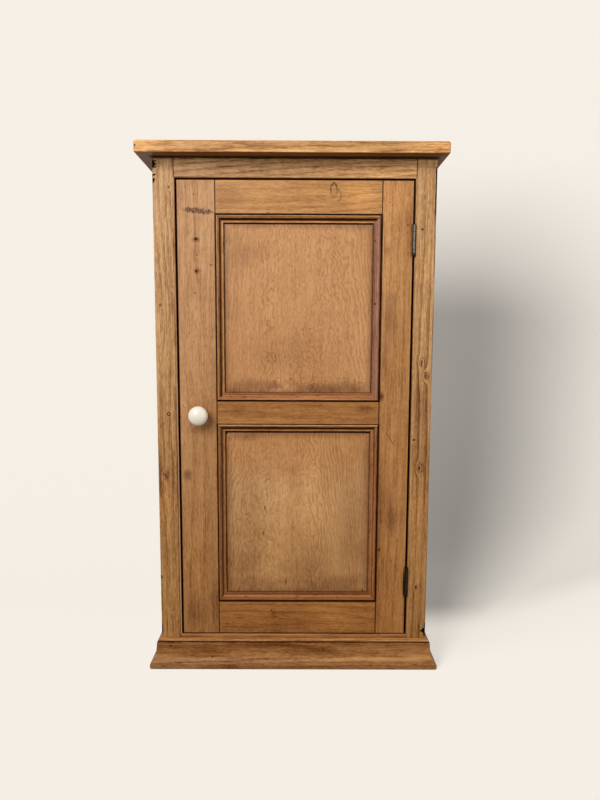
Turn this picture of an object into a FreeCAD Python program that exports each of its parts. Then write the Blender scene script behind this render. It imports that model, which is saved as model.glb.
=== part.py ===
import FreeCAD, Part
import math
import os

# A small pine jelly cupboard: a framed carcass with one panelled door, three shelves,
# an overhanging top board and a moulded plinth. The door hangs on two butt hinges and
# has a ceramic knob whose spindle turns a wooden button behind the face frame.
#
# Millimetres. X runs to the right, Y into the depth and Z up, so the door faces -Y.
# The origin is on the floor, below the middle of the top board.

# ------------------------------------------------------------------ driving dimensions

# Carcass
carcass_width = 555.0            # across the two side boards
carcass_depth = 355.0            # front of the face frame to the rear of the back boards
carcass_height = 1036.8          # floor to the underside of the top board
side_thickness = 20.0

# Top board, which overhangs more on the latch side than on the hinge side
top_thickness = 22.5
top_overhang_front = 35.0
top_overhang_left = 27.0
top_overhang_right = 17.0
top_corner_radius = 4.5          # upright front corners
top_edge_radius = 4.5            # along the upper edges
top_under_radius = 2.6           # along the lower edges

# Back, tongued and grooved boards let into rebates
back_thickness = 12.0
back_rebate = 10.0
back_board_count = 5
back_board_gap = 0.8
tongue_thickness = 4.0
tongue_length = 5.0
tongue_clearance = 0.6

# Shelves, base and the battens that carry them
shelf_thickness = 18.0
shelf_shares = (0.266, 0.514, 0.752)   # shelf tops, as shares of the height inside
shelf_end_clearance = 0.5
shelf_clearance = 1.2            # shelf's front edge to the end of the knob's spindle
base_thickness = 20.0
batten_height = 20.0
batten_width = 18.0
batten_nose = 8.0                # chamfer on the lower front corner
batten_setback = 4.0             # behind the shelf's front edge

# Face frame
frame_thickness = 24.0
frame_stile_width_left = 42.6
frame_stile_width_right = 41.0
frame_rail_top_height = 37.7
frame_rail_bottom_height = 67.9
frame_arris = 2.2                # round on the edges of the doorway
frame_outer_arris = 1.5
frame_tenon_thickness = 8.0
frame_tenon_length = 30.0
frame_tenon_shoulder = 6.0

# Door frame
door_gap_side = 3.5
door_gap_top = 4.3
door_gap_bottom = 1.8
door_recess = 1.2                # door's face behind the face frame's
door_thickness = 22.0
door_arris = 1.5
latch_stile_width = 75.0
hinge_stile_width = 61.0
door_rail_top_height = 64.3
door_rail_lock_height = 47.5
door_rail_bottom_height = 70.3
lower_opening_share = 0.5034     # of the height of the two openings together
door_haunch = 18.0               # part of an end rail's tenon that is cut short

# Panels, held loose in a groove as wide as the panel is thick
panel_thickness = 7.0
panel_setback = 8.0              # panel's face behind the door frame's
groove_depth = 9.0
groove_end_clearance = 2.0
panel_moulding_width = 16.5

# Plinth moulding
plinth_height = 60.0
plinth_projection = 21.5
plinth_cap_height = 6.2
plinth_cap_projection = 7.8
plinth_quirk = 0.8
plinth_neck_projection = 8.6     # fascia's top edge, under the cap
plinth_waist_projection = 11.6   # fascia's lower edge, above the swell
plinth_waist_height = 23.5
plinth_toe_height = 12.4
plinth_toe_chamfer = 2.0
plinth_foot_chamfer = 3.0

# Door stops and glue blocks
stop_thickness = 12.0
stop_overlap = 10.0              # how far a stop reaches into the doorway
stop_height = 26.0
stop_block_length = 60.0
glue_block_leg = 26.0
glue_block_length = 70.0
glue_block_inset = 45.0          # from the face frame or the back boards

# Butt hinges
hinge_height = 57.0
hinge_drop = 114.4               # upper hinge's middle below the top of the door
hinge_rise = 113.2               # lower hinge's middle above the bottom of the door
hinge_knuckle_radius = 3.5
hinge_knuckle_count = 5
hinge_knuckle_gap = 0.3
hinge_axis_proud = 1.5           # pin's centre in front of the face frame
hinge_leaf_depth = 21.5          # pin's centre to the leaf's inner edge
hinge_leaf_thickness = 2.0
hinge_leaf_gap = 0.5             # between the closed leaves
hinge_leaf_clearance = 0.4       # leaf's edge to the other leaf's knuckles
hinge_pin_radius = 1.6
hinge_pin_head_radius = 2.4
hinge_pin_head_height = 2.2
hinge_pin_point = 2.2            # how far the pin shows below the lowest knuckle
running_clearance = 0.05
barrel_housing_door = 5.2        # wood cut away round the knuckles, from the pin's centre
barrel_housing_frame = 4.3
barrel_housing_behind = 4.6
barrel_housing_below = 3.4       # the cut runs on below the hinge

# Knob, spindle and turn button
knob_drop = 3.6                  # knob's centre below the middle of the lock rail
knob_from_door_edge = 40.4
knob_diameter = 39.0
knob_projection = 38.0
knob_equator = 25.0              # widest part in front of the door's face
knob_foot_radius = 10.0
knob_neck_radius = 7.6
knob_neck_height = 9.0           # where the neck starts to swell into the head
knob_facets = 3                  # straight facets from the neck to the widest part
knob_shoulder = 48.0             # degrees round the front of the head to its first facet
knob_crown_radius = 6.0          # flat on the front of the head
knob_bore_depth = 20.0
knob_foot_clearance = 0.2
spindle_radius = 3.0
washer_width = 18.0
button_clearance = 0.8           # button to the back of the face frame
button_thickness = 10.0
button_width = 24.0
button_reach = 62.0
button_tail = 13.0
button_corner = 7.0              # cut off the two corners of the long arm
button_bevel = 3.0
nut_width = 11.0
nut_thickness = 4.5
spindle_end = 1.5                # how far the spindle shows past the nut

# ---------------------------------------------------------------- places worked out

left = -(carcass_width + top_overhang_left + top_overhang_right) / 2 + top_overhang_left
right = left + carcass_width
front = -(carcass_depth + top_overhang_front) / 2 + top_overhang_front
back = front + carcass_depth
top_under = carcass_height

inner_left = left + side_thickness
inner_right = right - side_thickness
frame_back = front + frame_thickness
back_face = back - back_thickness

doorway_left = left + frame_stile_width_left
doorway_right = right - frame_stile_width_right
doorway_bottom = frame_rail_bottom_height
doorway_top = top_under - frame_rail_top_height

door_left = doorway_left + door_gap_side
door_right = doorway_right - door_gap_side
door_bottom = doorway_bottom + door_gap_bottom
door_top = doorway_top - door_gap_top
door_front = front + door_recess
door_back = door_front + door_thickness

opening_left = door_left + latch_stile_width
opening_right = door_right - hinge_stile_width
openings_height = (door_top - door_bottom - door_rail_top_height - door_rail_lock_height
                   - door_rail_bottom_height)
lower_opening_bottom = door_bottom + door_rail_bottom_height
lower_opening = (lower_opening_bottom,
                 lower_opening_bottom + lower_opening_share * openings_height)
upper_opening = (lower_opening[1] + door_rail_lock_height,
                 door_top - door_rail_top_height)

panel_front = door_front + panel_setback
panel_back = panel_front + panel_thickness

hinge_x = doorway_right - door_gap_side / 2
hinge_y = front - hinge_axis_proud
hinge_centres = {"upper": door_top - hinge_drop, "lower": door_bottom + hinge_rise}

knob_x = door_left + knob_from_door_edge
knob_height = lower_opening[1] + door_rail_lock_height / 2 - knob_drop
button_front = frame_back + button_clearance
button_back = button_front + button_thickness
nut_end = button_back + nut_thickness

shelf_front = nut_end + spindle_end + shelf_clearance
shelf_tops = [doorway_bottom + share * (top_under - doorway_bottom) for share in shelf_shares]

# ---------------------------------------------------------------------------- helpers

BEYOND = 1.0                     # how far a cutting tool runs past the wood


def box(x0, x1, y0, y1, z0, z1):
    """A block between two corners."""
    return Part.makeBox(x1 - x0, y1 - y0, z1 - z0, FreeCAD.Vector(x0, y0, z0))


def edges_at(shape, **place):
    """The edges that lie wholly at the given coordinates, such as x=0, z=10."""
    found = []
    for edge in shape.Edges:
        ends = [vertex.Point for vertex in edge.Vertexes]
        if all(abs(getattr(end, axis) - value) < 0.001
               for end in ends for axis, value in place.items()):
            found.append(edge)
    return found


def polygon(outline):
    """A flat face inside a closed list of points."""
    points = [FreeCAD.Vector(*point) for point in outline]
    return Part.Face(Part.makePolygon(points + points[:1]))


def prism(outline, direction):
    """A solid pushed out from a closed list of points."""
    return polygon(outline).extrude(FreeCAD.Vector(*direction))


def section(steps):
    """A closed face in the YZ plane. A step is the next point of a straight line, or the
    middle and last points of an arc."""
    place = [FreeCAD.Vector(0, *point) for point in steps[0]]
    edges = []
    here = place[-1]
    for step in steps[1:]:
        points = [FreeCAD.Vector(0, *point) for point in step]
        if len(points) == 1:
            edges.append(Part.makeLine(here, points[0]))
        else:
            edges.append(Part.Arc(here, *points).toShape())
        here = points[-1]
    edges.append(Part.makeLine(here, place[0]))
    return Part.Face(Part.Wire(edges))


def strip(face, length, start, end):
    """A moulding along X from a section in the YZ plane, with Y pointing out of the work.
    start and end say how it is cut: 1 for an inside mitre, -1 outside and 0 square."""
    reach = face.BoundBox.YMax
    low = face.BoundBox.ZMin - BEYOND
    tall = face.BoundBox.ZLength + 2 * BEYOND
    far = reach + BEYOND
    moved = face.translated(FreeCAD.Vector(-reach, 0, 0))
    solid = moved.extrude(FreeCAD.Vector(length + 2 * reach, 0, 0))
    for side, mitre in ((0, start), (1, end)):
        outward = 1 if side else -1
        foot = length * side
        near = foot + outward * mitre * BEYOND
        tip = foot - outward * mitre * far
        beyond = foot + outward * (far + reach)
        waste = prism([(near, -BEYOND, low), (tip, far, low), (beyond, far, low),
                       (beyond, -BEYOND, low)], (0, 0, tall))
        solid = solid.cut(waste)
    return solid


def placed(shape, origin, along, out, up):
    """The shape with its X, Y and Z turned to the three given directions."""
    turn = FreeCAD.Matrix(along[0], out[0], up[0], origin[0],
                          along[1], out[1], up[1], origin[1],
                          along[2], out[2], up[2], origin[2],
                          0, 0, 0, 1)
    moved = shape.copy()
    moved.Placement = FreeCAD.Placement(turn)
    return moved


def cylinder(radius, start, end):
    """A round bar between two points."""
    first = FreeCAD.Vector(*start)
    run = FreeCAD.Vector(*end) - first
    return Part.makeCylinder(radius, run.Length, first, run)


# ------------------------------------------------------------------------------- hinges


def hinge_spans(centre):
    """The lowest and highest point of each knuckle, from the bottom up."""
    pitch = (hinge_height + hinge_knuckle_gap) / hinge_knuckle_count
    bottom = centre - hinge_height / 2
    return [(bottom + pitch * i, bottom + pitch * (i + 1) - hinge_knuckle_gap)
            for i in range(hinge_knuckle_count)]


def hinge_leaf(centre, side):
    """One leaf with its own knuckles. side is 1 for the frame's leaf, -1 for the door's."""
    near = side * hinge_leaf_gap / 2
    far = side * (hinge_leaf_gap / 2 + hinge_leaf_thickness)
    x0, x1 = sorted((hinge_x + near, hinge_x + far))
    low, high = centre - hinge_height / 2, centre + hinge_height / 2
    plate_start = hinge_y + hinge_knuckle_radius + hinge_leaf_clearance
    plate_end = hinge_y + hinge_leaf_depth
    leaf = box(x0, x1, plate_start, plate_end, low, high)
    own = hinge_spans(centre)[0 if side > 0 else 1::2]
    for z0, z1 in own:
        barrel = cylinder(hinge_knuckle_radius, (hinge_x, hinge_y, z0), (hinge_x, hinge_y, z1))
        leaf = leaf.fuse([barrel, box(x0, x1, hinge_y, plate_start, z0, z1)])
    bore = cylinder(hinge_pin_radius + running_clearance,
                    (hinge_x, hinge_y, low - BEYOND), (hinge_x, hinge_y, high + BEYOND))
    return leaf.cut(bore).removeSplitter()


def hinge_pin(centre):
    """A pin that hangs by its head on the top knuckle and shows a little below the last."""
    low, high = centre - hinge_height / 2, centre + hinge_height / 2
    top = high + hinge_pin_head_height
    pin = cylinder(hinge_pin_radius, (hinge_x, hinge_y, low - hinge_pin_point),
                   (hinge_x, hinge_y, top))
    head = cylinder(hinge_pin_head_radius, (hinge_x, hinge_y, high), (hinge_x, hinge_y, top))
    return pin.fuse(head).removeSplitter()


def leaf_housing(centre, side):
    """The wood cut away for one leaf and for the knuckles beside it."""
    seat = side * (hinge_leaf_gap / 2 + hinge_leaf_thickness)
    x0, x1 = sorted((hinge_x, hinge_x + seat))
    low, high = centre - hinge_height / 2, centre + hinge_height / 2
    leaf = box(x0, x1, front - BEYOND, hinge_y + hinge_leaf_depth, low, high)
    wide = side * (barrel_housing_frame if side > 0 else barrel_housing_door)
    b0, b1 = sorted((hinge_x, hinge_x + wide))
    barrel = box(b0, b1, front - BEYOND, hinge_y + barrel_housing_behind,
                 low - barrel_housing_below, high + hinge_pin_head_height + BEYOND)
    return [leaf, barrel]


# ------------------------------------------------------------------------------ carcass


def top_board():
    """The overhanging top, eased all round except at the back."""
    x0, x1 = left - top_overhang_left, right + top_overhang_right
    y0, z1 = front - top_overhang_front, top_under + top_thickness
    board = box(x0, x1, y0, back, top_under, z1)
    corners = edges_at(board, x=x0, y=y0) + edges_at(board, x=x1, y=y0)
    board = board.makeFillet(top_corner_radius, corners)
    for z, radius in ((z1, top_edge_radius), (top_under, top_under_radius)):
        rim = [edge for edge in edges_at(board, z=z) if edge not in edges_at(board, y=back)]
        board = board.makeFillet(radius, [edge for edge in rim
                                          if edge.BoundBox.YMin < back - 0.001])
    return board


def side_board(side):
    """A side board, rebated for the back boards. side is -1 for left and 1 for right."""
    x0, x1 = (left, inner_left) if side < 0 else (inner_right, right)
    board = box(x0, x1, frame_back, back, 0, top_under)
    r0, r1 = (x1 - back_rebate, x1) if side < 0 else (x0, x0 + back_rebate)
    rebate = box(r0, r1, back_face, back + BEYOND, -BEYOND, top_under + BEYOND)
    return board.cut(rebate)


def back_board(index):
    """One of the upright back boards, with a tongue on its right and a groove on its left."""
    start = inner_left - back_rebate
    pitch = (inner_right + back_rebate - start) / back_board_count
    first, last = index == 0, index == back_board_count - 1
    x0 = start + pitch * index + (0 if first else back_board_gap / 2)
    x1 = start + pitch * (index + 1) - (0 if last else back_board_gap / 2)
    board = box(x0, x1, back_face, back, 0, top_under)
    middle = (back_face + back) / 2
    slim = tongue_thickness / 2
    if not last:
        board = board.fuse(box(x1, x1 + tongue_length, middle - slim, middle + slim,
                               0, top_under)).removeSplitter()
    if not first:
        deep = tongue_length - back_board_gap + tongue_clearance
        wide = slim + tongue_clearance / 2
        board = board.cut(box(x0 - BEYOND, x0 + deep, middle - wide, middle + wide,
                              -BEYOND, top_under + BEYOND))
    return board


def shelf(top):
    """A loose shelf between the sides."""
    return box(inner_left + shelf_end_clearance, inner_right - shelf_end_clearance,
               shelf_front, back_face, top - shelf_thickness, top)


def batten(side, top, start):
    """A batten on a side board, under a shelf, with its lower front corner cut off."""
    x0 = inner_left if side < 0 else inner_right - batten_width
    low = top - batten_height
    outline = [(x0, start, top), (x0, back_face, top), (x0, back_face, low),
               (x0, start + batten_nose, low), (x0, start, low + batten_nose)]
    return prism(outline, (batten_width, 0, 0))


def frame_stile(side, tools):
    """A face-frame stile from the floor to the top board, mortised for the two rails."""
    x0, x1 = (left, doorway_left) if side < 0 else (doorway_right, right)
    inner, outer = (x1, x0) if side < 0 else (x0, x1)
    stile = box(x0, x1, front, frame_back, 0, top_under)
    stile = stile.makeFillet(frame_arris, edges_at(stile, x=inner, y=front))
    stile = stile.makeFillet(frame_outer_arris, edges_at(stile, x=outer, y=front))
    return stile.cut([frame_rail_blank("top"), frame_rail_blank("bottom")] + tools)


def frame_rail_blank(which):
    """A face-frame rail with a tenon at each end. Its shoulders meet the stiles where
    their rounded edge begins."""
    low, high = (doorway_top, top_under) if which == "top" else (0, doorway_bottom)
    rail = box(doorway_left - frame_arris, doorway_right + frame_arris, front, frame_back,
               low, high)
    middle = (front + frame_back) / 2
    slim = frame_tenon_thickness / 2
    tenon = box(doorway_left - frame_tenon_length, doorway_right + frame_tenon_length,
                middle - slim, middle + slim,
                low + frame_tenon_shoulder, high - frame_tenon_shoulder)
    return rail.fuse(tenon).removeSplitter()


def frame_rail(which):
    """The rail with its doorway edge rounded like the stiles'."""
    rail = frame_rail_blank(which)
    z = doorway_top if which == "top" else doorway_bottom
    return rail.makeFillet(frame_arris, edges_at(rail, y=front, z=z))


def plinth_section():
    """The plinth moulding's section: a small round cap, a nearly upright fascia below a
    quirk, and a hollow that turns outwards to an eased toe."""
    high, deep = plinth_height, plinth_projection
    cap = high - plinth_cap_height
    cap_out, neck, waist = (plinth_cap_projection, plinth_neck_projection,
                            plinth_waist_projection)
    under_cap = cap - plinth_quirk
    toe, toe_chamfer, foot = plinth_toe_height, plinth_toe_chamfer, plinth_foot_chamfer
    crest = deep - toe_chamfer
    fascia = ((neck + waist) / 2 - 0.1 * (waist - neck), (under_cap + plinth_waist_height) / 2)
    hollow = ((waist + crest) / 2 - 0.07 * (crest - waist),
              (plinth_waist_height + toe) / 2 - 0.07 * (plinth_waist_height - toe))
    return section([
        [(0, 0)],
        [(0, high)],
        [(cap_out * 0.25, high)],
        [(cap_out * 0.78, high - plinth_cap_height * 0.36), (cap_out, cap)],
        [(neck, under_cap)],
        [fascia, (waist, plinth_waist_height)],
        [hollow, (crest, toe)],
        [(deep, toe - toe_chamfer)],
        [(deep, foot)],
        [(deep - foot * 0.7, 0)],
    ])


def plinth():
    """The plinth: a front moulding mitred to a return along each side."""
    face = plinth_section()
    run = back - front
    return {
        "plinth_front": placed(strip(face, carcass_width, -1, -1), (right, front, 0),
                               (-1, 0, 0), (0, -1, 0), (0, 0, 1)),
        "plinth_left": placed(strip(face, run, -1, 0), (left, front, 0),
                              (0, 1, 0), (-1, 0, 0), (0, 0, 1)),
        "plinth_right": placed(strip(face, run, 0, -1), (right, back, 0),
                               (0, -1, 0), (1, 0, 0), (0, 0, 1)),
    }


def glue_blocks():
    """Triangular blocks in the corners under the top board."""
    blocks = []
    for x, inward in ((inner_left, 1), (inner_right, -1)):
        for y in (frame_back + glue_block_inset,
                  back_face - glue_block_inset - glue_block_length):
            corner = [(x, y, top_under), (x + inward * glue_block_leg, y, top_under),
                      (x, y, top_under - glue_block_leg)]
            blocks.append(prism(corner, (0, glue_block_length, 0)))
    return Part.makeCompound(blocks)


def carcass():
    """Everything that stands still."""
    rows = [(f"shelf_{i + 1}", top - shelf_thickness, shelf_front + batten_setback)
            for i, top in enumerate(shelf_tops)]
    rows.append(("base", doorway_bottom - base_thickness, frame_back))

    pieces = {"top_board": top_board()}
    for side, word in ((-1, "left"), (1, "right")):
        pieces[f"side_board_{word}"] = side_board(side)
        for name, top, start in rows:
            pieces[f"batten_{name}_{word}"] = batten(side, top, start)
    for i in range(back_board_count):
        pieces[f"back_board_{i + 1}"] = back_board(i)
    for i, top in enumerate(shelf_tops):
        pieces[f"shelf_{i + 1}"] = shelf(top)
    pieces["base_board"] = box(inner_left, inner_right, frame_back, back_face,
                               doorway_bottom - base_thickness, doorway_bottom)

    housings = [tool for centre in hinge_centres.values() for tool in leaf_housing(centre, 1)]
    pieces["face_stile_left"] = frame_stile(-1, [])
    pieces["face_stile_right"] = frame_stile(1, housings)
    for which in ("top", "bottom"):
        pieces[f"face_rail_{which}"] = frame_rail(which)
    pieces.update(plinth())

    pieces["door_stop_top"] = box(inner_left, inner_right, frame_back,
                                  frame_back + stop_thickness, doorway_top - stop_overlap,
                                  doorway_top - stop_overlap + stop_height)
    pieces["door_stop_bottom"] = box(doorway_left, doorway_left + stop_block_length,
                                     frame_back, frame_back + stop_thickness,
                                     doorway_bottom, doorway_bottom + stop_overlap)
    pieces["glue_blocks_top"] = glue_blocks()
    for word, centre in hinge_centres.items():
        pieces[f"hinge_leaf_frame_{word}"] = hinge_leaf(centre, 1)
        pieces[f"hinge_pin_{word}"] = hinge_pin(centre)
    return pieces


# --------------------------------------------------------------------------------- door


def tenon_span(low, high, grooved_low, grooved_high):
    """Where a rail's through tenon starts and ends: clear of a grooved edge, and cut back
    by the haunch at the door's own edge."""
    return (low + (groove_depth if grooved_low else door_haunch),
            high - (groove_depth if grooved_high else door_haunch))


def rail_spans():
    """Each rail's lower and upper edge and which of them are grooved for a panel."""
    return {"top": (upper_opening[1], door_top, True, False),
            "lock": (lower_opening[1], upper_opening[0], True, True),
            "bottom": (door_bottom, lower_opening[0], False, True)}


def door_rail(low, high, grooved_low, grooved_high):
    """A rail with through tenons, short haunches and its panel grooves."""
    rail = box(opening_left, opening_right, door_front, door_back, low, high)
    stub = box(opening_left - groove_depth, opening_right + groove_depth,
               panel_front, panel_back, low + (groove_depth if grooved_low else 0),
               high - (groove_depth if grooved_high else 0))
    z0, z1 = tenon_span(low, high, grooved_low, grooved_high)
    tenon = box(door_left, door_right, panel_front, panel_back, z0, z1)
    rail = rail.fuse([stub, tenon]).removeSplitter()
    for z, grooved, inward in ((low, grooved_low, 1), (high, grooved_high, -1)):
        if grooved:
            g0, g1 = sorted((z - inward * BEYOND, z + inward * groove_depth))
            rail = rail.cut(box(opening_left - BEYOND, opening_right + BEYOND,
                                panel_front, panel_back, g0, g1))
    return rail


def door_stile(side, tools):
    """A door stile, grooved for the panels and mortised right through for the rails."""
    x0, x1 = (door_left, opening_left) if side < 0 else (opening_right, door_right)
    inner, outer = (x1, x0) if side < 0 else (x0, x1)
    stile = box(x0, x1, door_front, door_back, door_bottom, door_top)
    stile = stile.makeFillet(door_arris, edges_at(stile, x=outer, y=door_front))
    g0, g1 = sorted((inner - side * BEYOND, inner + side * groove_depth))
    cuts = [box(g0, g1, panel_front, panel_back, door_bottom - BEYOND, door_top + BEYOND)]
    for low, high, grooved_low, grooved_high in rail_spans().values():
        z0, z1 = tenon_span(low, high, grooved_low, grooved_high)
        cuts.append(box(x0 - BEYOND, x1 + BEYOND, panel_front, panel_back, z0, z1))
    return stile.cut(cuts + tools)


def door_panel(low, high):
    """A flat panel, a little smaller than the grooves that hold it."""
    reach = groove_depth - groove_end_clearance
    return box(opening_left - reach, opening_right + reach, panel_front, panel_back,
               low - reach, high + reach)


def moulding_section():
    """The panel moulding's section: an outer bead, an ogee and a small inner bead. Y is the
    distance in from the door frame, Z the height above the panel."""
    wide, high = panel_moulding_width, panel_setback
    return section([
        [(0, 0)],
        [(0, high * 0.85)],
        [(wide * 0.14, high), (wide * 0.28, high * 0.80)],
        [(wide * 0.31, high * 0.66)],
        [(wide * 0.46, high * 0.62), (wide * 0.57, high * 0.44)],
        [(wide * 0.64, high * 0.32), (wide * 0.76, high * 0.27)],
        [(wide * 0.88, high * 0.40), (wide, high * 0.22)],
        [(wide, 0)],
    ])


def panel_mouldings(word, low, high):
    """Four mitred mouldings round one panel."""
    face = moulding_section()
    wide, tall = opening_right - opening_left, high - low
    across = strip(face, wide, 1, 1)
    upright = strip(face, tall, 1, 1)
    toward = (0, -1, 0)
    return {
        f"moulding_{word}_bottom": placed(across, (opening_left, panel_front, low),
                                          (1, 0, 0), (0, 0, 1), toward),
        f"moulding_{word}_top": placed(across, (opening_right, panel_front, high),
                                       (-1, 0, 0), (0, 0, -1), toward),
        f"moulding_{word}_left": placed(upright, (opening_left, panel_front, high),
                                        (0, 0, -1), (1, 0, 0), toward),
        f"moulding_{word}_right": placed(upright, (opening_right, panel_front, low),
                                         (0, 0, 1), (-1, 0, 0), toward),
    }


def door():
    """Everything that swings, apart from the knob and its button."""
    housings = [tool for centre in hinge_centres.values() for tool in leaf_housing(centre, -1)]
    spindle_hole = cylinder(spindle_radius + running_clearance,
                            (knob_x, door_front - BEYOND, knob_height),
                            (knob_x, door_back + BEYOND, knob_height))
    pieces = {"door_stile_latch": door_stile(-1, [spindle_hole]),
              "door_stile_hinge": door_stile(1, housings)}
    for name, span in rail_spans().items():
        rail = door_rail(*span)
        pieces[f"door_rail_{name}"] = rail.cut(housings + [spindle_hole])
    for word, (low, high) in (("upper", upper_opening), ("lower", lower_opening)):
        pieces[f"door_panel_{word}"] = door_panel(low, high)
        pieces.update(panel_mouldings(word, low, high))
    for word, centre in hinge_centres.items():
        pieces[f"hinge_leaf_door_{word}"] = hinge_leaf(centre, -1)
    return pieces


# --------------------------------------------------------------------------------- knob


def knob():
    """A turned ceramic knob with a blind hole for its spindle. Its head swells from the
    neck to the widest part and closes in a flatter crown."""
    foot = door_front - knob_foot_clearance
    radius = knob_diameter / 2
    bore = spindle_radius + running_clearance
    crown = knob_projection - knob_equator
    swell = knob_equator - knob_neck_height
    outline = [(0, foot - knob_bore_depth), (bore, foot - knob_bore_depth), (bore, foot),
               (knob_foot_radius, foot)]
    for i in range(knob_facets + 1):
        turn = math.radians(90 * i / knob_facets)
        outline.append((knob_neck_radius + (radius - knob_neck_radius) * math.sin(turn),
                        door_front - knob_neck_height - swell * (1 - math.cos(turn))))
    shoulder = math.radians(knob_shoulder)
    outline += [(radius * math.cos(shoulder),
                 door_front - knob_equator - crown * math.sin(shoulder)),
                (knob_crown_radius, door_front - knob_projection),
                (0, door_front - knob_projection)]
    half = polygon([(r, y, 0) for r, y in outline])
    body = half.revolve(FreeCAD.Vector(0, 0, 0), FreeCAD.Vector(0, 1, 0), 360)
    body.translate(FreeCAD.Vector(knob_x, 0, knob_height))
    return body


def turn_button():
    """A wooden turn button that hangs down when it is let go. Its long arm has clipped
    corners, and is bevelled where it slides behind the face frame."""
    half, clip = button_width / 2, button_corner
    end, tail = -button_reach, button_tail
    outline = [(-half, tail), (-half, end + clip), (clip - half, end), (half - clip, end),
               (half, end + clip), (half, tail)]
    body = prism([(knob_x + x, button_front, knob_height + z) for x, z in outline],
                 (0, button_thickness, 0))
    rim = [edge for edge in edges_at(body, y=button_front)
           if edge.CenterOfMass.z < knob_height + tail - button_bevel]
    body = body.makeChamfer(button_bevel, rim)
    hole = cylinder(spindle_radius + running_clearance,
                    (knob_x, button_front - BEYOND, knob_height),
                    (knob_x, button_back + BEYOND, knob_height))
    return body.cut(hole)


def knob_parts():
    """Everything that turns with the knob, which a square nut draws up on the spindle."""

    def bar(radius, start, end):
        return cylinder(radius, (knob_x, start, knob_height), (knob_x, end, knob_height))

    bore = spindle_radius + running_clearance
    inside = door_front - knob_foot_clearance - knob_bore_depth
    washer_front = door_back + knob_foot_clearance

    def square_ring(width, start, end):
        half = width / 2
        plate = box(knob_x - half, knob_x + half, start, end,
                    knob_height - half, knob_height + half)
        return plate.cut(bar(bore, start - BEYOND, end + BEYOND))

    return {
        "knob_ceramic": knob(),
        "knob_spindle": bar(spindle_radius, inside, nut_end + spindle_end),
        "knob_washer": square_ring(washer_width, washer_front, button_front),
        "turn_button": turn_button(),
        "knob_nut": square_ring(nut_width, button_back, nut_end),
    }


# ------------------------------------------------------------------------------- export


def main():
    """Write one STEP file for each piece."""
    os.makedirs("parts", exist_ok=True)
    pieces = {**carcass(), **door(), **knob_parts()}
    for name, shape in pieces.items():
        shape.exportStep(f"parts/{name}.step")


main()
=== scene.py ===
import math
from functools import reduce

import bmesh
import bpy
from mathutils import Matrix, Vector


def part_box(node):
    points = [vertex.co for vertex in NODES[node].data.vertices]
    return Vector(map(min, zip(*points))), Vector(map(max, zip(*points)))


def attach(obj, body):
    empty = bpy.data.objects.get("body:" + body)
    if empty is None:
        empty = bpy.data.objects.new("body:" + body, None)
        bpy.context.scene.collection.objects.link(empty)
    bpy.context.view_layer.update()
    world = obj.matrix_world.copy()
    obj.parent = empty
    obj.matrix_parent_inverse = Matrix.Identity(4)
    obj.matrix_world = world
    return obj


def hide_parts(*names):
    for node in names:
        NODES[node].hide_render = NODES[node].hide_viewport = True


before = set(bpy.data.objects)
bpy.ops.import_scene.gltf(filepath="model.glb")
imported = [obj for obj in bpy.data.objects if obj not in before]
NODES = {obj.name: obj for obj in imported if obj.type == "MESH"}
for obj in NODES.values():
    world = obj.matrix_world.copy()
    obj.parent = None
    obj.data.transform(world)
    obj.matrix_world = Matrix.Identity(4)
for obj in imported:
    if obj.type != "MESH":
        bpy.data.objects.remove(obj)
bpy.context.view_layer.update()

scene = bpy.context.scene


def mm(*values):
    return [value / 1000 for value in values]


def rgb(*srgb):
    """A linear colour from its sRGB numbers, 0 to 255."""
    def linear(c):
        c /= 255
        return c / 12.92 if c <= 0.04045 else ((c + 0.055) / 1.055) ** 2.4
    return tuple(linear(c) for c in srgb) + (1.0,)


def shades(*colours):
    """A board's light, middle and dark tone, from their sRGB numbers."""
    return tuple(rgb(*colour) for colour in colours)


def grey(value):
    return (value, value, value, 1.0)


# ---- node graphs


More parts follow.
